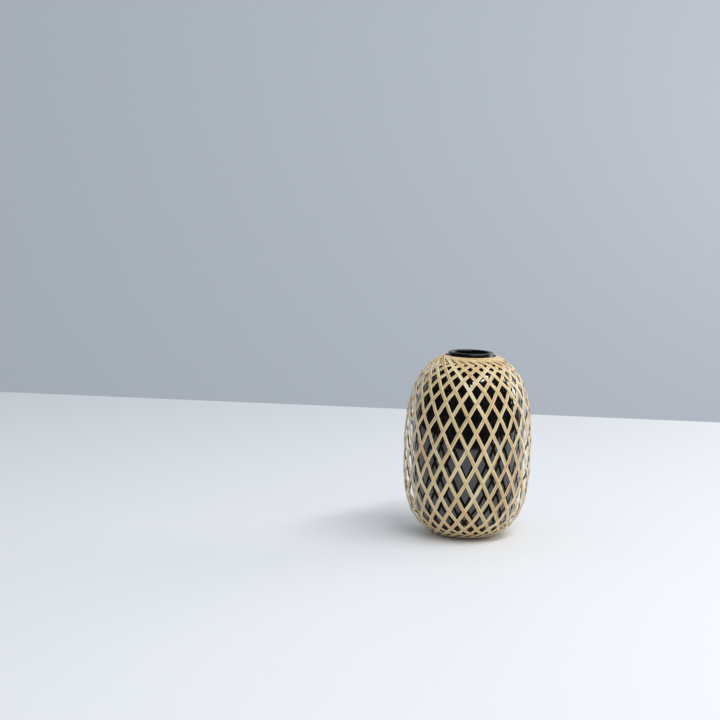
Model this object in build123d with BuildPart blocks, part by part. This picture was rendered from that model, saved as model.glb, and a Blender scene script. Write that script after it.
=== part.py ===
"""A bud vase: a black glazed vessel that stands captive in an open cage woven from bamboo strips.

Every strip is one flat ribbon. It starts under the vase, climbs the side on a slant, turns round
the neck and comes down again with the opposite slant. The strips pass over and under each other
in plain weave on the sides, and lap over their neighbours like an iris round the mouth and the base.
The origin is on the table under the middle of the vase, +Z is up, and all sizes are millimetres.
"""

from build123d import *
import math
import os

import numpy as np

# Cage, measured to the middle of the weave
CAGE_RADIUS = 39.6  # at the waist, its widest ring
DOME_RISE = 60.0  # from the waist to where the dome would close over the axis
DOME_FULLNESS = 2.5  # 2 is an ellipse, and more is squarer
BOWL_DROP = 56.0  # from the waist to where the bowl would close under the axis
BOWL_FULLNESS = 3.1
TURN_RADIUS = 18.0  # the circle that the strips turn on, round the mouth and round the base
BASE_HEIGHT = 1.2  # where the strips turn under the vase, over the table

# Bamboo strips
STRIP_COUNT = 24
STRIP_WIDTH = 2.1
STRIP_THICKNESS = 0.3  # over the crown of its outer side, the bamboo's skin
STRIP_CROWN = 0.05  # the crown's height over the strip's edges
WEAVE_CLEARANCE = 0.1  # play between two strips that cross
WEAVE_LIFT_PLIES = 1.2  # a crossing strip's distance from the middle of the weave
LAP_SLOPE = 0.092  # a lapping strip's rise over its neighbours per length, round the mouth and the base
LAP_STATIONS = (1.0, 2.5, 4.0, 5.0)  # crossings from a turn at which a lapping strip's section is set
LAP_CROSSINGS = 6.25  # crossings from a turn to where plain weave takes over
END_CROSSINGS = 0.2  # crossings from the turn under the vase to a strip's cut end
WEAVE_LEAD = 0.5  # least share of a crossing's step between the laps and the first woven crossing
WALK_STEPS = 1500  # steps that follow a strip from a turn to the waist

# Vessel
SIDE_GAP = 4.4  # from the middle of the weave to the vessel at the waist
SHOULDER_GAP = 3.0  # the same over the shoulder
SEAT_GAP = 1.9  # the same under the belly, over the circle that the strips turn on
VESSEL_WALL = 3.0
NECK_GAP = 2.75  # round the neck, inside the hole that the strips leave
NECK_WALL = 2.7
LIP_STAND = 3.4  # the lip's height over the turning strips
LIP_CHAMFER = 0.9
FOOT_GAP = 2.15  # round the foot, inside the hole that the strips leave
FOOT_WIDTH = 3.0
FOOT_RECESS = 0.8
FOOT_CHAMFER = 0.4
OUTER_SPAN_COUNT = 6  # straight spans that each curved quarter of the vessel is turned in
CAVITY_SPAN_COUNT = 4  # the same inside


def swell(radius, full_radius, fullness):
    """Height share of the rounded profile at a radius: 1 on the axis, 0 at the waist."""
    return (1 - (radius / full_radius) ** fullness) ** (1 / fullness)


weave_lift = WEAVE_LIFT_PLIES * (STRIP_THICKNESS + WEAVE_CLEARANCE)
waist_height = BASE_HEIGHT + BOWL_DROP * swell(TURN_RADIUS, CAGE_RADIUS, BOWL_FULLNESS)
mouth_height = waist_height + DOME_RISE * swell(TURN_RADIUS, CAGE_RADIUS, DOME_FULLNESS)


def half_walk(height, fullness):
    """Follow a strip from a turning circle to the waist: length, azimuth, radius and height off the waist.

    A flat strip that isn't bent sideways takes the shortest way over the surface, so its radius times
    the sine of its lean from the meridian stays at the radius where it turns.
    """
    start = math.asin((TURN_RADIUS / CAGE_RADIUS) ** (fullness / 2))
    angle = start + (math.pi / 2 - start) * np.linspace(0, 1, WALK_STEPS) ** 2
    radius = CAGE_RADIUS * np.sin(angle) ** (2 / fullness)
    offset = height * np.abs(np.cos(angle)) ** (2 / fullness)
    middle = (radius[1:] + radius[:-1]) / 2
    spread = np.sqrt(middle**2 - TURN_RADIUS**2)
    meridian = np.hypot(np.diff(radius), np.diff(offset))
    length = np.append(0, np.cumsum(middle * meridian / spread))
    azimuth = np.append(0, np.cumsum(TURN_RADIUS * meridian / (middle * spread)))
    return length, azimuth, radius, offset


# The whole walk of half a strip, from the mouth over the waist to the base
dome_length, dome_azimuth, dome_radius, dome_offset = half_walk(DOME_RISE, DOME_FULLNESS)
bowl_length, bowl_azimuth, bowl_radius, bowl_offset = half_walk(BOWL_DROP, BOWL_FULLNESS)
reach = dome_length[-1] + bowl_length[-1]
sweep_angle = dome_azimuth[-1] + bowl_azimuth[-1]
walk_length = np.append(dome_length, reach - bowl_length[-2::-1])
walk_azimuth = np.append(dome_azimuth, sweep_angle - bowl_azimuth[-2::-1])
walk_radius = np.append(dome_radius, bowl_radius[-2::-1])
walk_height = waist_height + np.append(dome_offset, -bowl_offset[-2::-1])


# A strip crosses another one each time that it has gone this far round
crossing_angle = math.pi / STRIP_COUNT
crossing_count = sweep_angle / crossing_angle


def strip_stations():
    """Places along a strip where its section is set: crossings from the mouth, and lift off the weave."""
    lap_places = (END_CROSSINGS, *LAP_STATIONS)
    lap_lengths = np.interp(np.array(lap_places) * crossing_angle, walk_azimuth, walk_length)
    end_lap, *mouth_laps = [(at, -LAP_SLOPE * float(length)) for at, length in zip(lap_places, lap_lengths)]
    base_laps = [(crossing_count - at, lift) for at, lift in reversed([end_lap, *mouth_laps])]
    first = math.ceil(LAP_CROSSINGS + WEAVE_LEAD)
    last = math.floor(crossing_count - LAP_CROSSINGS - WEAVE_LEAD)
    weave = [(at, weave_lift if (at - first) % 2 else -weave_lift) for at in range(first, last + 1)]
    mouth_end = (LAP_CROSSINGS, -weave_lift)
    base_end = (crossing_count - LAP_CROSSINGS, -weave_lift)
    side = [*mouth_laps, mouth_end, *weave, base_end, *base_laps]
    other_side = [(-at, -lift) for at, lift in reversed(side)]
    return [*other_side, (0, 0), *side]


def section_plane(start, at, lift):
    """Plane across a strip that turns at the mouth at azimuth start: X over its width, Y out of the cage."""
    way = math.copysign(1, at)
    swing = abs(at) * crossing_angle
    radius = float(np.interp(swing, walk_azimuth, walk_radius))
    height = float(np.interp(swing, walk_azimuth, walk_height))
    azimuth = start + way * swing
    rise, fullness = (DOME_RISE, DOME_FULLNESS) if height > waist_height else (BOWL_DROP, BOWL_FULLNESS)
    above = height - waist_height
    outward = Vector(math.cos(azimuth), math.sin(azimuth), 0)
    around = Vector(-math.sin(azimuth), math.cos(azimuth), 0)
    up = Vector(0, 0, 1)
    radial_slope = (radius / CAGE_RADIUS) ** (fullness - 1) / CAGE_RADIUS
    upward_slope = math.copysign((abs(above) / rise) ** (fullness - 1) / rise, above)
    normal = (outward * radial_slope + up * upward_slope).normalized()
    downhill = around.cross(normal)
    lean = min(TURN_RADIUS / radius, 1)
    forward = around * lean + downhill * (way * math.sqrt(1 - lean**2))
    centre = outward * radius + up * height + normal * lift
    return Plane(origin=centre, x_dir=forward.cross(normal), z_dir=forward)


def profile_points(radius, height, fullness, end_radius, spans):
    """Points of a rounded profile from the waist to an end radius, with its height counted from the waist."""
    end = math.asin((end_radius / radius) ** (fullness / 2))
    angles = np.linspace(math.pi / 2, end, spans + 1)
    across = radius * np.sin(angles) ** (2 / fullness)
    along = waist_height + height * np.abs(np.cos(angles)) ** (2 / fullness)
    return list(zip(across.tolist(), along.tolist()))


os.makedirs("parts", exist_ok=True)

# Vessel: a hollow cast body with a short straight neck and a foot ring, glazed black all over
vessel_radius = CAGE_RADIUS - SIDE_GAP
shoulder_rise = DOME_RISE - SHOULDER_GAP
seat_height = BASE_HEIGHT + SEAT_GAP
belly_drop = (waist_height - seat_height) / swell(TURN_RADIUS, vessel_radius, BOWL_FULLNESS)
hole_radius = TURN_RADIUS - STRIP_WIDTH / 2
neck_radius = hole_radius - NECK_GAP
bore_radius = neck_radius - NECK_WALL
foot_radius = hole_radius - FOOT_GAP
lip_height = mouth_height + LIP_STAND

cavity_radius = vessel_radius - VESSEL_WALL
cavity_rise = shoulder_rise - VESSEL_WALL
cavity_drop = belly_drop - VESSEL_WALL
outer_belly = profile_points(vessel_radius, -belly_drop, BOWL_FULLNESS, foot_radius, OUTER_SPAN_COUNT)
outer_shoulder = profile_points(vessel_radius, shoulder_rise, DOME_FULLNESS, neck_radius, OUTER_SPAN_COUNT)
cavity_shoulder = profile_points(cavity_radius, cavity_rise, DOME_FULLNESS, bore_radius, CAVITY_SPAN_COUNT)
cavity_belly = profile_points(cavity_radius, -cavity_drop, BOWL_FULLNESS, 0, CAVITY_SPAN_COUNT)

with BuildPart() as inner_vessel:
    with BuildSketch(Plane.XZ) as half_section:
        with BuildLine():
            Polyline(*outer_belly)
            Polyline(*outer_shoulder)
            Polyline(
                outer_shoulder[-1],
                (neck_radius, lip_height),
                (bore_radius, lip_height),
                cavity_shoulder[-1],
            )
            Polyline(*cavity_shoulder)
            Polyline(*cavity_belly)
            Polyline(
                cavity_belly[-1],
                (0, FOOT_RECESS),
                (foot_radius - FOOT_WIDTH, FOOT_RECESS),
                (foot_radius - FOOT_WIDTH, 0),
                (foot_radius, 0),
                outer_belly[-1],
            )
        make_face()
        lip_corners = half_section.vertices().group_by(Axis.Y)[-1]
        chamfer(lip_corners, LIP_CHAMFER)
        foot_corners = half_section.vertices().group_by(Axis.Y)[0]
        chamfer(foot_corners, FOOT_CHAMFER)
    revolve(axis=Axis.Z)
inner_vessel.part.label = "inner_vessel"
export_step(inner_vessel.part, "parts/inner_vessel.step")

# Bamboo strips: all alike, each turned one step further round the vase. A strip's section starts at its
# crown, which keeps the corners of neighbouring sections in step where the strip twists.
half_width = STRIP_WIDTH / 2
half_thickness = STRIP_THICKNESS / 2
edge_height = half_thickness - STRIP_CROWN
strip_section = [
    (0, half_thickness),
    (-half_width, edge_height),
    (-half_width, -half_thickness),
    (half_width, -half_thickness),
    (half_width, edge_height),
]
stations = strip_stations()
for index in range(STRIP_COUNT):
    start = math.tau * index / STRIP_COUNT
    with BuildPart() as strip:
        for at, lift in stations:
            with BuildSketch(section_plane(start, at, lift)):
                with BuildLine():
                    Polyline(*strip_section, close=True)
                make_face()
        loft(ruled=True)
    strip.part.label = f"bamboo_strip_{index + 1:02d}"
    export_step(strip.part, f"parts/{strip.part.label}.step")
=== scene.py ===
"""A bud vase: a black glazed vessel that stands captive in an open cage woven from bamboo strips.

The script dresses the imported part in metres: the vessel, then the strips round it, then the stage.
"""

import math

import bpy
import numpy as np
from mathutils import Matrix, Vector


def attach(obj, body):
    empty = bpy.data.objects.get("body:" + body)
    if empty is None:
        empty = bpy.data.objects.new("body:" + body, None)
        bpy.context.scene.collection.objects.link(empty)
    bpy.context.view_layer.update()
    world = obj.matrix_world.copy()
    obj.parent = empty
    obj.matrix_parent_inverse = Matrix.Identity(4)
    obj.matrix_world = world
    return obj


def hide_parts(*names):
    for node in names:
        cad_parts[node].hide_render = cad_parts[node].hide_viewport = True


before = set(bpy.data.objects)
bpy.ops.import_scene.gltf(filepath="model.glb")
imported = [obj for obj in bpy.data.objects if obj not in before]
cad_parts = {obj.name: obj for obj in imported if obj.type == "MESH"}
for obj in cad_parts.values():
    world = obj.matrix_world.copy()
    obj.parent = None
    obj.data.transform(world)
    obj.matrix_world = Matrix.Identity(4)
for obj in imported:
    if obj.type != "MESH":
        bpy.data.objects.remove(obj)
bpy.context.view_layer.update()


# Vessel: the hollow stoneware body that holds the water, slip cast in one piece with a short straight
# neck and a foot ring. It was put in the cage before the mouth was closed, so it can't come out.
# The outline is turned as one smooth skin, from the foot ring over the lip and down the inside.
CAGE_RADIUS = 0.0396  # middle of the weave at the waist
DOME_RISE = 0.0600  # from the waist to where the dome would close over the axis
DOME_FULLNESS = 2.5  # 2 is an ellipse, and more is squarer
BOWL_DROP = 0.0560  # from the waist to where the bowl would close under the axis
BOWL_FULLNESS = 3.1
TURN_RADIUS = 0.0180  # the circle that the strips turn on, round the mouth and round the base
BASE_HEIGHT = 0.0012  # where the strips turn under the vase, over the table
SIDE_GAP = 0.0044  # from the middle of the weave to the vessel at the waist
SHOULDER_GAP = 0.0030  # the same over the shoulder
SEAT_GAP = 0.0019  # the same under the belly
VESSEL_WALL = 0.0030
NECK_RADIUS = 0.0142
BORE_RADIUS = 0.0115
LIP_STAND = 0.0034  # the lip's height over the turning strips
LIP_ROUND = 0.0009
FOOT_RADIUS = 0.0148
FOOT_WIDTH = 0.0030
FOOT_RECESS = 0.0008
FOOT_ROUND = 0.0004
VESSEL_SEGMENTS = 160
CURVE_STEPS = 36  # rings in each curved quarter of the outline
ROUND_STEPS = 5  # rings in each rounded edge


def swell(radius, full_radius, fullness):
    """Height share of a rounded profile at a radius: 1 on the axis, 0 at the waist."""
    return (1 - (radius / full_radius) ** fullness) ** (1 / fullness)


waist_height = BASE_HEIGHT + BOWL_DROP * swell(TURN_RADIUS, CAGE_RADIUS, BOWL_FULLNESS)
mouth_height = waist_height + DOME_RISE * swell(TURN_RADIUS, CAGE_RADIUS, DOME_FULLNESS)
lip_height = mouth_height + LIP_STAND
vessel_radius = CAGE_RADIUS - SIDE_GAP
shoulder_rise = DOME_RISE - SHOULDER_GAP
seat_drop = waist_height - BASE_HEIGHT - SEAT_GAP
belly_drop = seat_drop / swell(TURN_RADIUS, vessel_radius, BOWL_FULLNESS)


def curved_quarter(full_radius, rise, fullness, end_radius):
    """Rings from the waist to an end radius: radius and height."""
    end = math.asin((end_radius / full_radius) ** (fullness / 2))
    angles = np.linspace(math.pi / 2, end, CURVE_STEPS)
    radii = full_radius * np.sin(angles) ** (2 / fullness)
    heights = waist_height + rise * np.abs(np.cos(angles)) ** (2 / fullness)
    return list(zip(radii.tolist(), heights.tolist()))


def rounded_edge(radius, height, size, first_turn):
    """Rings of a quarter round about a centre, turning a quarter anticlockwise from first_turn degrees."""
    turns = np.radians(np.linspace(first_turn, first_turn + 90, ROUND_STEPS))
    return [(radius + size * math.cos(turn), height + size * math.sin(turn)) for turn in turns]


foot_inner = FOOT_RADIUS - FOOT_WIDTH
belly = curved_quarter(vessel_radius, -belly_drop, BOWL_FULLNESS, FOOT_RADIUS)
shoulder = curved_quarter(vessel_radius, shoulder_rise, DOME_FULLNESS, NECK_RADIUS)
cavity_radius = vessel_radius - VESSEL_WALL
cavity_top = curved_quarter(cavity_radius, shoulder_rise - VESSEL_WALL, DOME_FULLNESS, BORE_RADIUS)
cavity_floor = curved_quarter(cavity_radius, VESSEL_WALL - belly_drop, BOWL_FULLNESS, 0)
vessel_outline = [
    (0, FOOT_RECESS),
    (foot_inner, FOOT_RECESS),
    *rounded_edge(foot_inner + FOOT_ROUND, FOOT_ROUND, FOOT_ROUND, 180),
    *rounded_edge(FOOT_RADIUS - FOOT_ROUND, FOOT_ROUND, FOOT_ROUND, 270),
    *reversed(belly),
    *shoulder[1:],
    *rounded_edge(NECK_RADIUS - LIP_ROUND, lip_height - LIP_ROUND, LIP_ROUND, 0),
    *rounded_edge(BORE_RADIUS + LIP_ROUND, lip_height - LIP_ROUND, LIP_ROUND, 90),
    *reversed(cavity_top),
    *cavity_floor[1:],
]


def turned_mesh(name, outline, segments):
    """A closed skin of revolution from an outline that starts and ends on the axis."""
    rings = outline[1:-1]
    turns = np.linspace(0, math.tau, segments, endpoint=False)
    points = [(0, 0, outline[0][1])]
    points += [(r * math.cos(turn), r * math.sin(turn), z) for r, z in rings for turn in turns]
    points += [(0, 0, outline[-1][1])]
    last = len(points) - 1
    top = 1 + (len(rings) - 1) * segments
    faces = []
    for step in range(segments):
        after = (step + 1) % segments
        faces.append((0, 1 + after, 1 + step))
        for low in range(1, top, segments):
            high = low + segments
            faces.append((low + step, low + after, high + after, high + step))
        faces.append((top + step, top + after, last))
    mesh = bpy.data.meshes.new(name)
    mesh.from_pydata(points, [], faces)
    mesh.shade_smooth()
    return mesh


def linear_colour(hex_code):
    """An sRGB hex colour as linear RGBA."""
    parts = [int(hex_code[place : place + 2], 16) / 255 for place in (1, 3, 5)]
    return [part / 12.92 if part <= 0.04045 else ((part + 0.055) / 1.055) ** 2.4 for part in parts] + [1.0]


def add_node(tree, kind, inputs=None, **settings):
    """Add a node with its settings. An input is a value, or another node's output to link."""
    node = tree.nodes.new(kind)
    for name, value in settings.items():
        setattr(node, name, value)
    for key, value in (inputs or {}).items():
        if isinstance(value, bpy.types.NodeSocket):
            tree.links.new(value, node.inputs[key])
        else:
            node.inputs[key].default_value = value
    return node


# Black glazed stoneware: a thick, fired gloss glaze. It is near black and mirrors the room, its skin
# is very slightly wavy from the melt, the lip is duller where the glaze ran thin, and the rubbed foot
# ring shows the dark, dry clay.
GLAZE_COLOUR = "#0B0B0C"
GLAZE_IOR = 1.55
GLAZE_COAT_IOR = 1.5
GLAZE_ROUGHNESS = 0.06
LIP_ROUGHNESS = 0.28
LIP_FADE = 0.003  # height over which the gloss fades towards the lip
CLAY_COLOUR = "#4A423B"
CLAY_ROUGHNESS = 0.85
GLAZE_WAVE = 0.007  # from crest to crest in the melt
GLAZE_WAVE_DEPTH = 0.00002
FOOT_BARE = 0.0003  # height up to which the foot ring is bare

glaze = bpy.data.materials.new("black_glazed_stoneware")
glaze.use_nodes = True
tree = glaze.node_tree
tree.nodes.clear()
place = add_node(tree, "ShaderNodeTexCoord").outputs["Object"]
melt = add_node(tree, "ShaderNodeTexNoise", {"Vector": place, "Scale": 1 / GLAZE_WAVE, "Detail": 1.0})
skin = add_node(tree, "ShaderNodeBump", {"Height": melt.outputs["Fac"], "Distance": GLAZE_WAVE_DEPTH})
height = add_node(tree, "ShaderNodeSeparateXYZ", {0: place}).outputs["Z"]
bare = add_node(tree, "ShaderNodeMath", {0: height, 1: FOOT_BARE}, operation="LESS_THAN").outputs[0]
thin = add_node(
    tree,
    "ShaderNodeMapRange",
    {0: height, 1: mouth_height - LIP_FADE, 2: mouth_height, 3: 0.0, 4: 1.0},
    interpolation_type="SMOOTHSTEP",
).outputs[0]
dull = add_node(tree, "ShaderNodeMath", {0: bare, 1: thin}, operation="MAXIMUM").outputs[0]
glazed = add_node(tree, "ShaderNodeMath", {0: 1.0, 1: dull}, operation="SUBTRACT").outputs[0]
glaze_tone = add_node(
    tree,
    "ShaderNodeMix",
    {0: bare, 6: linear_colour(GLAZE_COLOUR), 7: linear_colour(CLAY_COLOUR)},
    data_type="RGBA",
).outputs[2]
lip_gloss = add_node(tree, "ShaderNodeMix", {0: thin, 2: GLAZE_ROUGHNESS, 3: LIP_ROUGHNESS}).outputs[0]
glaze_gloss = add_node(tree, "ShaderNodeMix", {0: bare, 2: lip_gloss, 3: CLAY_ROUGHNESS}).outputs[0]
surface = add_node(
    tree,
    "ShaderNodeBsdfPrincipled",
    {
        "Base Color": glaze_tone,
        "Roughness": glaze_gloss,
        "IOR": GLAZE_IOR,
        "Normal": skin.outputs[0],
        "Coat Weight": glazed,
        "Coat Roughness": GLAZE_ROUGHNESS,
        "Coat IOR": GLAZE_COAT_IOR,
        "Coat Normal": skin.outputs[0],
    },
)
add_node(tree, "ShaderNodeOutputMaterial", {"Surface": surface.outputs[0]})

vessel_mesh = turned_mesh("glazed_vessel", vessel_outline, VESSEL_SEGMENTS)
vessel_mesh.materials.append(glaze)
vessel = bpy.data.objects.new("glazed_vessel", vessel_mesh)
bpy.context.collection.objects.link(vessel)
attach(vessel, "root")
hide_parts("inner_vessel")


# Bamboo strips: 24 flat ribbons split from a culm, each bent once over the mouth with both ends under
# the vase. They pass over and under each other on the sides and lap like an iris at the mouth and the
# base, and nothing but the weave holds them. All follow one line, which is turned round the axis.
STRIP_COUNT = 24
STRIP_WIDTH = 0.0021
STRIP_THICKNESS = 0.0003
STRIP_EDGE_ROUND = 0.0001
STRIP_EDGE_STEPS = 2
PARED_SHARE = 0.45  # of the thickness that is left where a strip laps round the mouth and the base
PARED_CROSSINGS = (5.0, 8.0)  # crossings from a turn between which a strip grows to its full thickness
WEAVE_CLEARANCE = 0.00005  # play between two strips that cross
WEAVE_REST = 0.34  # share of the way to the next crossing on which a strip lies flat, if that is far off
TIGHT_PITCH = 0.0035  # between crossings so close that a strip never lies flat
WIDE_PITCH = 0.0100  # between crossings so far apart that it lies flat for the whole share
WEAVE_START = 6  # first crossing in plain weave
WEAVE_LEAD = 0.5  # least share of a crossing that the last one in plain weave lies further from the base
LAP_SLOPE = 0.045  # a lapping strip's rise over its neighbours per length
LAP_CROSSINGS = 4.8  # crossings from a turn over which strips lap
SHOULDER_FULL = 0.0009  # how far the strips stand off the even curve at the mouth, fading to the waist
MOUTH_DRAW_IN = 0.0014  # how far the strips are pulled in, level, to hug the neck
MOUTH_DRAW_SPAN = 0.0080  # width of the ring over which that fades
END_GAP = 0.0004  # from a strip's cut end to the middle of its turn under the vase
STRIP_WANDER = 0.00022  # how far a strip strays sideways, as bent by hand
WANDER_LENGTH = 0.030  # from one stray to the next
WANDER_RANGE = (0.25, 0.75)  # noise levels at which a strip strays that far
WALK_STEPS = 3000  # steps that follow a strip from a turn to the waist
STRIP_STEP = 0.0006  # between the points of the strip's line


def half_walk(height, fullness):
    """Follow a strip from a turning circle to the waist: length, azimuth, radius and height off the waist.

    A flat strip that isn't bent sideways takes the shortest way over the surface, so its radius times
    the sine of its lean from the meridian stays at the radius where it turns.
    """
    start = math.asin((TURN_RADIUS / CAGE_RADIUS) ** (fullness / 2))
    angle = start + (math.pi / 2 - start) * np.linspace(0, 1, WALK_STEPS) ** 2
    radius = CAGE_RADIUS * np.sin(angle) ** (2 / fullness)
    offset = height * np.abs(np.cos(angle)) ** (2 / fullness)
    middle = (radius[1:] + radius[:-1]) / 2
    spread = np.sqrt(middle**2 - TURN_RADIUS**2)
    meridian = np.hypot(np.diff(radius), np.diff(offset))
    length = np.append(0, np.cumsum(middle * meridian / spread))
    azimuth = np.append(0, np.cumsum(TURN_RADIUS * meridian / (middle * spread)))
    return length, azimuth, radius, offset


# The whole walk of half a strip, from the mouth over the waist to the base
dome_length, dome_azimuth, dome_radius, dome_offset = half_walk(DOME_RISE, DOME_FULLNESS)
bowl_length, bowl_azimuth, bowl_radius, bowl_offset = half_walk(BOWL_DROP, BOWL_FULLNESS)
reach = dome_length[-1] + bowl_length[-1]
sweep_angle = dome_azimuth[-1] + bowl_azimuth[-1]
walk_length = np.append(dome_length, reach - bowl_length[-2::-1])
walk_azimuth = np.append(dome_azimuth, sweep_angle - bowl_azimuth[-2::-1])
walk_radius = np.append(dome_radius, bowl_radius[-2::-1])
walk_offset = np.append(dome_offset, -bowl_offset[-2::-1])

# A strip crosses another one each time that it has gone this far round
crossing_angle = math.pi / STRIP_COUNT
crossing_count = sweep_angle / crossing_angle


def length_at(crossing):
    """Length along a strip from the mouth to a crossing."""
    return np.interp(crossing * crossing_angle, walk_azimuth, walk_length)


def eased(share):
    """A smooth change from 0 to 1."""
    share = np.clip(share, 0, 1)
    return share**3 * (10 - 15 * share + 6 * share**2)


weave_end = math.floor(crossing_count - WEAVE_START - WEAVE_LEAD)
weave_lift = (STRIP_THICKNESS + WEAVE_CLEARANCE) / 2
mouth_top = LAP_SLOPE * length_at(LAP_CROSSINGS)
base_top = LAP_SLOPE * (reach - length_at(crossing_count - LAP_CROSSINGS))


def strip_lift(length):
    """Distance out of the middle of the weave at a length from the mouth: lap, plain weave, lap.

    The half of a strip that comes down to the right lies outside in the lap at the mouth and inside in
    the lap at the base. The other half is its opposite.
    """
    crossing = np.interp(length, walk_length, walk_azimuth) / crossing_angle
    before = np.floor(crossing)
    pitch = length_at(before + 1) - length_at(before)
    rest = WEAVE_REST * np.clip((pitch - TIGHT_PITCH) / (WIDE_PITCH - TIGHT_PITCH), 0, 1)
    change = eased((crossing - before - rest) / (1 - 2 * rest))
    side = np.where((before - WEAVE_START) % 2 == 0, 1, -1)
    woven = weave_lift * side * (1 - 2 * change)
    woven = np.where(crossing < WEAVE_START, weave_lift, woven)
    woven = np.where(crossing > weave_end, -weave_lift, woven)
    mouth_lap = np.minimum(LAP_SLOPE * length, mouth_top)
    base_lap = -np.minimum(LAP_SLOPE * (reach - length), base_top)
    into_weave = eased((crossing - LAP_CROSSINGS) / (WEAVE_START - LAP_CROSSINGS))
    out_of_weave = eased((crossing - weave_end) / (crossing_count - LAP_CROSSINGS - weave_end))
    lift = mouth_lap + (woven - mouth_lap) * into_weave
    return lift + (base_lap - lift) * out_of_weave


# The strip's line, from its one end under the vase over the mouth to the other, the way out of the cage
# along it, and the share of the thickness that is left
half_length = reach - END_GAP
half_steps = round(half_length / STRIP_STEP)
along = np.linspace(-half_length, half_length, 2 * half_steps + 1)
from_mouth = np.abs(along)
way = np.where(along < 0, -1, 1)
swing = np.interp(from_mouth, walk_length, walk_azimuth)
radius = np.interp(from_mouth, walk_length, walk_radius)
above = np.interp(from_mouth, walk_length, walk_offset)
drawn_in = MOUTH_DRAW_IN * (1 - eased((radius - TURN_RADIUS) / MOUTH_DRAW_SPAN))
radius = np.where(above > 0, radius - drawn_in, radius)
rise = np.where(above > 0, DOME_RISE, BOWL_DROP)
fullness = np.where(above > 0, DOME_FULLNESS, BOWL_FULLNESS)
radial_slope = (radius / CAGE_RADIUS) ** (fullness - 1) / CAGE_RADIUS
upward_slope = np.sign(above) * (np.abs(above) / rise) ** (fullness - 1) / rise
azimuth = way * swing
outward = np.column_stack((radial_slope * np.cos(azimuth), radial_slope * np.sin(azimuth), upward_slope))
outward /= np.linalg.norm(outward, axis=1)[:, None]
line = np.column_stack((radius * np.cos(azimuth), radius * np.sin(azimuth), waist_height + above))
stand_off = SHOULDER_FULL * (1 - eased(from_mouth / dome_length[-1]))
line += outward * (way * strip_lift(from_mouth) + stand_off)[:, None]
forward = np.gradient(line, axis=0)
forward /= np.linalg.norm(forward, axis=1)[:, None]
outward -= forward * np.sum(outward * forward, axis=1)[:, None]
outward /= np.linalg.norm(outward, axis=1)[:, None]
turn_crossings = np.minimum(swing, sweep_angle - swing) / crossing_angle
grown = (turn_crossings - PARED_CROSSINGS[0]) / (PARED_CROSSINGS[1] - PARED_CROSSINGS[0])
pared = PARED_SHARE + (1 - PARED_SHARE) * eased(grown)

line_mesh = bpy.data.meshes.new("strip_line")
line_mesh.from_pydata(line.tolist(), [(step, step + 1) for step in range(len(line) - 1)], [])
out_attribute = line_mesh.attributes.new("out_of_cage", "FLOAT_VECTOR", "POINT")
out_attribute.data.foreach_set("vector", outward.ravel())
pared_attribute = line_mesh.attributes.new("pared_share", "FLOAT", "POINT")
pared_attribute.data.foreach_set("value", pared)

# The strip's node tree strays a little from the line, sweeps the section along it, pares the laps, marks
# each place on the strip and its tone, and turns the strip to its own place round the axis
strip_tree = bpy.data.node_groups.new("bamboo_strip", "GeometryNodeTree")
for name, kind in (
    ("Line", "NodeSocketGeometry"),
    ("Width", "NodeSocketFloat"),
    ("Thickness", "NodeSocketFloat"),
    ("Edge Round", "NodeSocketFloat"),
    ("Wander", "NodeSocketFloat"),
    ("Wander Length", "NodeSocketFloat"),
    ("Turn", "NodeSocketFloat"),
    ("Seed", "NodeSocketInt"),
    ("Material", "NodeSocketMaterial"),
):
    strip_tree.interface.new_socket(name, in_out="INPUT", socket_type=kind)
strip_tree.interface.new_socket("Strip", in_out="OUTPUT", socket_type="NodeSocketGeometry")
given = add_node(strip_tree, "NodeGroupInput").outputs
curve = add_node(strip_tree, "GeometryNodeMeshToCurve", {"Mesh": given["Line"]}).outputs[0]
out_way = add_node(
    strip_tree,
    "GeometryNodeInputNamedAttribute",
    {"Name": "out_of_cage"},
    data_type="FLOAT_VECTOR",
).outputs["Attribute"]
ahead = add_node(strip_tree, "GeometryNodeInputTangent").outputs[0]
sideways = add_node(
    strip_tree,
    "ShaderNodeVectorMath",
    {0: ahead, 1: out_way},
    operation="CROSS_PRODUCT",
).outputs[0]
run = add_node(strip_tree, "GeometryNodeSplineParameter").outputs["Length"]
waves = add_node(
    strip_tree,
    "ShaderNodeMath",
    {0: run, 1: given["Wander Length"]},
    operation="DIVIDE",
).outputs[0]
stray_place = add_node(strip_tree, "ShaderNodeCombineXYZ", {0: waves, 1: given["Seed"]}).outputs[0]
stray = add_node(
    strip_tree,
    "ShaderNodeTexNoise",
    {"Vector": stray_place, "Scale": 1.0},
    noise_dimensions="2D",
).outputs[0]
stray_share = add_node(
    strip_tree,
    "ShaderNodeMapRange",
    {0: stray, 1: WANDER_RANGE[0], 2: WANDER_RANGE[1], 3: -1.0, 4: 1.0},
).outputs[0]
stray_size = add_node(
    strip_tree,
    "ShaderNodeMath",
    {0: stray_share, 1: given["Wander"]},
    operation="MULTIPLY",
).outputs[0]
stray_step = add_node(
    strip_tree,
    "ShaderNodeVectorMath",
    {0: sideways, 3: stray_size},
    operation="SCALE",
).outputs[0]
curve = add_node(strip_tree, "GeometryNodeSetPosition", {"Geometry": curve, "Offset": stray_step}).outputs[0]
curve = add_node(
    strip_tree,
    "GeometryNodeSetCurveNormal",
    {"Curve": curve, "Normal": out_way},
    mode="FREE",
).outputs[0]
kept_run = add_node(strip_tree, "GeometryNodeCaptureAttribute", {"Geometry": curve})
kept_run.capture_items.new("FLOAT", "run")
strip_tree.links.new(run, kept_run.inputs["run"])
section = add_node(
    strip_tree,
    "GeometryNodeCurvePrimitiveQuadrilateral",
    {"Width": given["Thickness"], "Height": given["Width"]},
).outputs[0]
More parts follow.
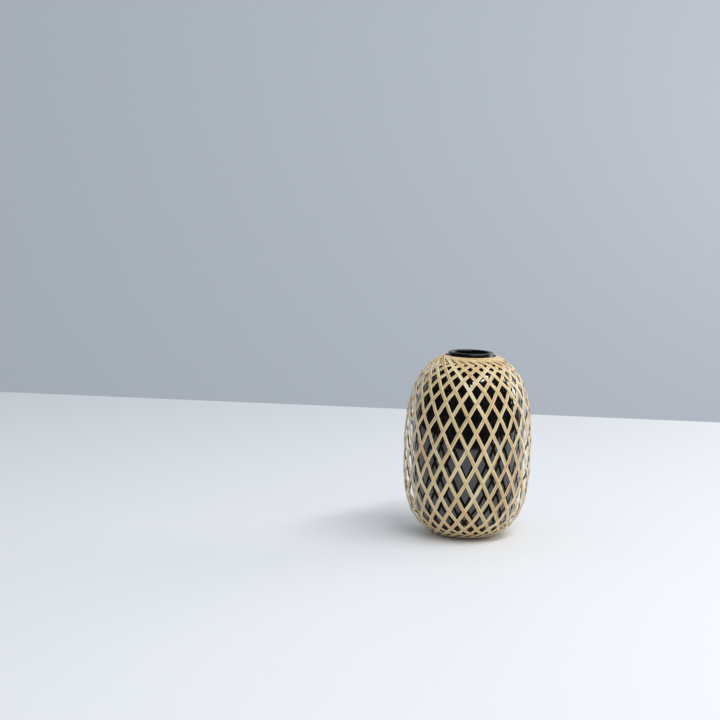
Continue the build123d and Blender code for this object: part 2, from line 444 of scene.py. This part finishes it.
section = add_node(
    strip_tree,
    "GeometryNodeFilletCurve",
    {"Curve": section, "Radius": given["Edge Round"], "Count": STRIP_EDGE_STEPS},
    mode="POLY",
).outputs[0]
section_place = add_node(strip_tree, "GeometryNodeInputPosition").outputs[0]
section_axes = add_node(strip_tree, "ShaderNodeSeparateXYZ", {0: section_place}).outputs
kept_section = add_node(strip_tree, "GeometryNodeCaptureAttribute", {"Geometry": section})
for name, axis in (("across", "Y"), ("through", "X")):
    kept_section.capture_items.new("FLOAT", name)
    strip_tree.links.new(section_axes[axis], kept_section.inputs[name])
ribbon = add_node(
    strip_tree,
    "GeometryNodeCurveToMesh",
    {"Curve": kept_run.outputs[0], "Profile Curve": kept_section.outputs[0], "Fill Caps": True},
).outputs[0]
left_share = add_node(
    strip_tree,
    "GeometryNodeInputNamedAttribute",
    {"Name": "pared_share"},
    data_type="FLOAT",
).outputs["Attribute"]
lost_share = add_node(strip_tree, "ShaderNodeMath", {0: left_share, 1: 1.0}, operation="SUBTRACT").outputs[0]
lost = add_node(
    strip_tree,
    "ShaderNodeMath",
    {0: lost_share, 1: kept_section.outputs["through"]},
    operation="MULTIPLY",
).outputs[0]
paring = add_node(strip_tree, "ShaderNodeVectorMath", {0: out_way, 3: lost}, operation="SCALE").outputs[0]
ribbon = add_node(strip_tree, "GeometryNodeSetPosition", {"Geometry": ribbon, "Offset": paring}).outputs[0]
ribbon_place = add_node(
    strip_tree,
    "ShaderNodeCombineXYZ",
    {0: kept_run.outputs["run"], 1: kept_section.outputs["across"]},
).outputs[0]
own_tone = add_node(strip_tree, "ShaderNodeTexWhiteNoise", {"W": given["Seed"]}, noise_dimensions="1D")
for name, value, kind, domain in (
    ("strip_place", ribbon_place, "FLOAT2", "CORNER"),
    ("strip_tone", own_tone.outputs["Value"], "FLOAT", "POINT"),
):
    ribbon = add_node(
        strip_tree,
        "GeometryNodeStoreNamedAttribute",
        {"Geometry": ribbon, "Name": name, "Value": value},
        data_type=kind,
        domain=domain,
    ).outputs[0]
turn = add_node(strip_tree, "ShaderNodeCombineXYZ", {2: given["Turn"]}).outputs[0]
ribbon = add_node(strip_tree, "GeometryNodeTransform", {"Geometry": ribbon, "Rotation": turn}).outputs[0]
ribbon = add_node(strip_tree, "GeometryNodeSetShadeSmooth", {"Geometry": ribbon}).outputs[0]
ribbon = add_node(strip_tree, "GeometryNodeRealizeInstances", {"Geometry": ribbon}).outputs[0]
ribbon = add_node(
    strip_tree,
    "GeometryNodeSetMaterial",
    {"Geometry": ribbon, "Material": given["Material"]},
).outputs[0]
add_node(strip_tree, "NodeGroupOutput", {"Strip": ribbon})

# Split bamboo, scraped and polished by use: straw gold with long pale and brown fibres and a warmer blush
# here and there, a painted highlight as a pale band along each edge, a faint dark line where the culm had a
# joint, and the soft gloss of its skin.
STRAW_COLOURS = ("#BA975A", "#D7BD85", "#EADAAF")
STRAW_STOPS = (0.38, 0.50, 0.62)  # levels of the grain that have these colours
TINT_COLOURS = ("#F0EEC8", "#FFFFFF", "#FBE1C4")  # greener, plain and redder strips
TINT_STOPS = (0.0, 0.5, 1.0)
TINT_SHARE = 0.6
BLUSH_COLOUR = "#CE9550"
BLUSH_RANGE = (0.48, 0.72)  # noise levels between which the blush comes in
BLUSH_SHARE = 0.6
# The pale edge colour is a painted highlight along both edges of every strip.
EDGE_HIGHLIGHT_COLOUR = "#F3E9CD"
EDGE_HIGHLIGHT_SHARE = 0.75
EDGE_HIGHLIGHT_WIDTH = 0.00030  # width of the painted highlight band along each edge
EDGE_RAGGED = 0.0006  # how far fibres run in and out of that band
CULM_JOINT_COLOUR = "#8A6A3A"
CULM_JOINT_SHARE = 0.55
CULM_JOINT_SPACING = 0.190
CULM_JOINT_WIDTH = 0.0011
FIBRES = (0.030, 0.0003, 97.0, 3.0)  # length, width, step from strip to strip and detail of a pattern;
STREAKS = (0.045, 0.0009, 53.0, 2.0)  # real fibres are half as wide, which is too fine to show
BLUSHES = (0.022, 0.0040, 31.0, 1.0)
FIBRE_SHARE = 0.45  # of the fibres in the grain, and the rest is streaks
FIBRE_DEPTH = 0.00002
BAMBOO_IOR = 1.5
BAMBOO_ROUGHNESS = (0.52, 0.36)  # on dark and on pale grain
GLOSS_RANGE = (0.3, 0.7)  # levels of the grain that have these

bamboo = bpy.data.materials.new("split_bamboo")
bamboo.use_nodes = True
tree = bamboo.node_tree
tree.nodes.clear()
strip_place = add_node(tree, "ShaderNodeUVMap", uv_map="strip_place").outputs[0]
run, across, _ = add_node(tree, "ShaderNodeSeparateXYZ", {0: strip_place}).outputs
tone = add_node(tree, "ShaderNodeAttribute", attribute_name="strip_tone").outputs["Fac"]
own_part = add_node(tree, "ShaderNodeCombineXYZ", {2: tone}).outputs[0]
placed = add_node(tree, "ShaderNodeVectorMath", {0: strip_place, 1: own_part}, operation="ADD").outputs[0]
patterns = []
for length, width, step, detail in (FIBRES, STREAKS, BLUSHES):
    pattern_place = add_node(
        tree,
        "ShaderNodeVectorMath",
        {0: placed, 1: (1 / length, 1 / width, step)},
        operation="MULTIPLY",
    ).outputs[0]
    pattern = add_node(tree, "ShaderNodeTexNoise", {"Vector": pattern_place, "Scale": 1.0, "Detail": detail})
    patterns.append(pattern.outputs[0])
fibres, streaks, blushes = patterns
grain = add_node(tree, "ShaderNodeMix", {0: FIBRE_SHARE, 2: streaks, 3: fibres}).outputs[0]

ramps = []
for level, stops, colours in ((grain, STRAW_STOPS, STRAW_COLOURS), (tone, TINT_STOPS, TINT_COLOURS)):
    ramp = add_node(tree, "ShaderNodeValToRGB", {0: level})
    ramp.color_ramp.elements.new(0.5)
    for element, stop, colour in zip(ramp.color_ramp.elements, stops, colours):
        element.position = stop
        element.color = linear_colour(colour)
    ramps.append(ramp.outputs[0])
straw, tint = ramps
strip_colour = add_node(
    tree,
    "ShaderNodeMix",
    {0: TINT_SHARE, 6: straw, 7: tint},
    data_type="RGBA",
    blend_type="MULTIPLY",
).outputs[2]

blush_share = add_node(
    tree,
    "ShaderNodeMapRange",
    {0: blushes, 1: BLUSH_RANGE[0], 2: BLUSH_RANGE[1], 3: 0.0, 4: BLUSH_SHARE},
).outputs[0]
centre_gap = add_node(tree, "ShaderNodeMath", {0: across}, operation="ABSOLUTE").outputs[0]
ragged = add_node(
    tree,
    "ShaderNodeMapRange",
    {0: grain, 1: 0.0, 2: 1.0, 3: -EDGE_RAGGED, 4: EDGE_RAGGED},
).outputs[0]
off_centre = add_node(tree, "ShaderNodeMath", {0: centre_gap, 1: ragged}, operation="ADD").outputs[0]
# Painted highlight: each strip is paled along both edges, with a ragged inner border that follows the grain.
highlight_start = STRIP_WIDTH / 2 - EDGE_HIGHLIGHT_WIDTH
edge_highlight_share = add_node(
    tree,
    "ShaderNodeMapRange",
    {0: off_centre, 1: highlight_start - EDGE_HIGHLIGHT_WIDTH, 2: highlight_start + EDGE_HIGHLIGHT_WIDTH, 3: 0.0, 4: EDGE_HIGHLIGHT_SHARE},
    interpolation_type="SMOOTHSTEP",
).outputs[0]
joint_run = add_node(
    tree,
    "ShaderNodeMath",
    {0: tone, 1: CULM_JOINT_SPACING, 2: run},
    operation="MULTIPLY_ADD",
).outputs[0]
joint_gap = add_node(
    tree,
    "ShaderNodeMath",
    {0: joint_run, 1: CULM_JOINT_SPACING},
    operation="PINGPONG",
).outputs[0]
joint_share = add_node(
    tree,
    "ShaderNodeMapRange",
    {0: joint_gap, 1: 0.0, 2: CULM_JOINT_WIDTH, 3: CULM_JOINT_SHARE, 4: 0.0},
    interpolation_type="SMOOTHSTEP",
).outputs[0]
# The blush, the painted edge highlight and the culm joints are laid over the straw colour.
for share, colour in (
    (blush_share, BLUSH_COLOUR),
    (edge_highlight_share, EDGE_HIGHLIGHT_COLOUR),
    (joint_share, CULM_JOINT_COLOUR),
):
    strip_colour = add_node(
        tree,
        "ShaderNodeMix",
        {0: share, 6: strip_colour, 7: linear_colour(colour)},
        data_type="RGBA",
    ).outputs[2]

gloss = add_node(
    tree,
    "ShaderNodeMapRange",
    {0: grain, 1: GLOSS_RANGE[0], 2: GLOSS_RANGE[1], 3: BAMBOO_ROUGHNESS[0], 4: BAMBOO_ROUGHNESS[1]},
).outputs[0]
ridges = add_node(tree, "ShaderNodeBump", {"Height": fibres, "Distance": FIBRE_DEPTH}).outputs[0]
surface = add_node(
    tree,
    "ShaderNodeBsdfPrincipled",
    {"Base Color": strip_colour, "Roughness": gloss, "IOR": BAMBOO_IOR, "Normal": ridges},
)
add_node(tree, "ShaderNodeOutputMaterial", {"Surface": surface.outputs[0]})

strip_sockets = {
    item.name: item.identifier for item in strip_tree.interface.items_tree if item.in_out == "INPUT"
}
for index in range(STRIP_COUNT):
    node_name = f"bamboo_strip_{index + 1:02d}"
    strip = bpy.data.objects.new(f"split_{node_name}", line_mesh)
    bpy.context.collection.objects.link(strip)
    weave = strip.modifiers.new("weave", "NODES")
    weave.node_group = strip_tree
    for socket, value in (
        ("Width", STRIP_WIDTH),
        ("Thickness", STRIP_THICKNESS),
        ("Edge Round", STRIP_EDGE_ROUND),
        ("Wander", STRIP_WANDER),
        ("Wander Length", WANDER_LENGTH),
        ("Turn", math.tau * index / STRIP_COUNT),
        ("Seed", index + 1),
        ("Material", bamboo),
    ):
        weave[strip_sockets[socket]] = value
    evaluated = strip.evaluated_get(bpy.context.evaluated_depsgraph_get())
    ribbon_mesh = bpy.data.meshes.new_from_object(evaluated)
    ribbon_mesh.name = strip.name
    strip.modifiers.remove(weave)
    strip.data = ribbon_mesh
    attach(strip, "root")
    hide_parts(node_name)


# Stage: a pale table top with a plain blue-grey wall behind it. Nothing of it belongs to the vase.
# The table ends in front of the vase, so the vessel's upper half mirrors the dim room.
TABLE_COLOUR = "#E8EAEC"
TABLE_ROUGHNESS = 0.55
TABLE_HALF_WIDTH = 0.9
TABLE_FRONT = -0.40
TABLE_BACK = 0.50
WALL_COLOUR = "#C6CCD2"
WALL_ROUGHNESS = 0.9
WALL_DISTANCE = 1.2
WALL_HALF_WIDTH = 2.0
WALL_LOW = -0.6
WALL_HIGH = 1.4


def flat_sheet(name, corners, colour, roughness):
    """A plain sheet of the stage with its matt finish."""
    mesh = bpy.data.meshes.new(name)
    mesh.from_pydata(corners, [], [(0, 1, 2, 3)])
    finish = bpy.data.materials.new(f"{name}_paint")
    finish.use_nodes = True
    paint = finish.node_tree.nodes["Principled BSDF"]
    paint.inputs["Base Color"].default_value = linear_colour(colour)
    paint.inputs["Roughness"].default_value = roughness
    mesh.materials.append(finish)
    sheet = bpy.data.objects.new(name, mesh)
    bpy.context.collection.objects.link(sheet)


table_corners = [
    (-TABLE_HALF_WIDTH, TABLE_FRONT, 0),
    (TABLE_HALF_WIDTH, TABLE_FRONT, 0),
    (TABLE_HALF_WIDTH, TABLE_BACK, 0),
    (-TABLE_HALF_WIDTH, TABLE_BACK, 0),
]
wall_corners = [
    (-WALL_HALF_WIDTH, WALL_DISTANCE, WALL_LOW),
    (WALL_HALF_WIDTH, WALL_DISTANCE, WALL_LOW),
    (WALL_HALF_WIDTH, WALL_DISTANCE, WALL_HIGH),
    (-WALL_HALF_WIDTH, WALL_DISTANCE, WALL_HIGH),
]
flat_sheet("table_top", table_corners, TABLE_COLOUR, TABLE_ROUGHNESS)
flat_sheet("wall", wall_corners, WALL_COLOUR, WALL_ROUGHNESS)


# Light: a long soft box high at the right, a window-like one low at the right, and a bright even room.
# The lamps are set so that the table renders about as its colour is written.
LAMPS = (  # name, place, size, watts and colour
    ("sky_box", (0.40, -0.30, 0.96), (1.10, 0.14), 7.6, "#FFFFFF"),
    ("window_box", (0.95, 0.75, 0.42), (0.80, 0.60), 5.2, "#FFFBF4"),
)
ROOM_COLOUR = "#DDE2EA"
ROOM_STRENGTH = 0.74
ROOM_MIRRORED_STRENGTH = 0.04  # the dark side of the room, as the glaze mirrors it

lamp_aim = Vector((0, 0, waist_height))
for name, position, size, power, colour in LAMPS:
    lamp = bpy.data.lights.new(name, "AREA")
    lamp.shape = "RECTANGLE"
    lamp.size, lamp.size_y = size
    lamp.energy = power
    lamp.color = linear_colour(colour)[:3]
    box = bpy.data.objects.new(name, lamp)
    box.location = position
    box.rotation_euler = (lamp_aim - Vector(position)).to_track_quat("-Z", "Y").to_euler()
    bpy.context.collection.objects.link(box)
room = bpy.data.worlds.new("room")
room.use_nodes = True
tree = room.node_tree
tree.nodes.clear()
mirrored = add_node(tree, "ShaderNodeLightPath").outputs["Is Glossy Ray"]
room_level = add_node(
    tree,
    "ShaderNodeMix",
    {0: mirrored, 2: ROOM_STRENGTH, 3: ROOM_MIRRORED_STRENGTH},
).outputs[0]
glow = add_node(tree, "ShaderNodeBackground", {"Color": linear_colour(ROOM_COLOUR), "Strength": room_level})
add_node(tree, "ShaderNodeOutputWorld", {"Surface": glow.outputs[0]})
bpy.context.scene.world = room


# Camera: a portrait lens about a metre in front of the vase, a little above it and slightly rolled. It is
# aimed so that the vase's middle falls right of and below the picture's middle.
CAMERA_DISTANCE = 0.948
CAMERA_ELEVATION = 10.0  # degrees
CAMERA_ROLL = 2.3  # degrees that the vase's top leans to the right
CAMERA_AIM_HEIGHT = 0.0576
LENS = 75.0
SENSOR = 36.0
PICTURE_SIZE = 720
AIM_PIXEL = (467.4, 443.0)  # where the vase's middle falls, from the picture's top left corner


def upright(way, up):
    """Right, up and way as the columns of a turn."""
    true_up = (up - way * up.dot(way)).normalized()
    return Matrix((way.cross(true_up), true_up, way)).transposed()


lean = math.radians(CAMERA_ELEVATION)
aim_way = Vector((0, math.cos(lean), -math.sin(lean)))
camera_place = Vector((0, 0, CAMERA_AIM_HEIGHT)) - aim_way * CAMERA_DISTANCE
pixel_size = SENSOR / PICTURE_SIZE
seen_right = (AIM_PIXEL[0] - PICTURE_SIZE / 2) * pixel_size
seen_up = (PICTURE_SIZE / 2 - AIM_PIXEL[1]) * pixel_size
seen_way = Vector((seen_right, seen_up, -LENS)).normalized()
roll = math.radians(CAMERA_ROLL)
room_turn = upright(aim_way, Vector((0, 0, 1)))
seen_turn = upright(seen_way, Vector((math.sin(roll), math.cos(roll), 0)))
camera = bpy.data.objects.new("camera", bpy.data.cameras.new("camera"))
camera.data.lens = LENS
camera.data.sensor_width = SENSOR
camera.matrix_world = Matrix.Translation(camera_place) @ (room_turn @ seen_turn.transposed()).to_4x4()
bpy.context.collection.objects.link(camera)
bpy.context.scene.camera = camera
bpy.context.scene.view_settings.view_transform = "Standard"
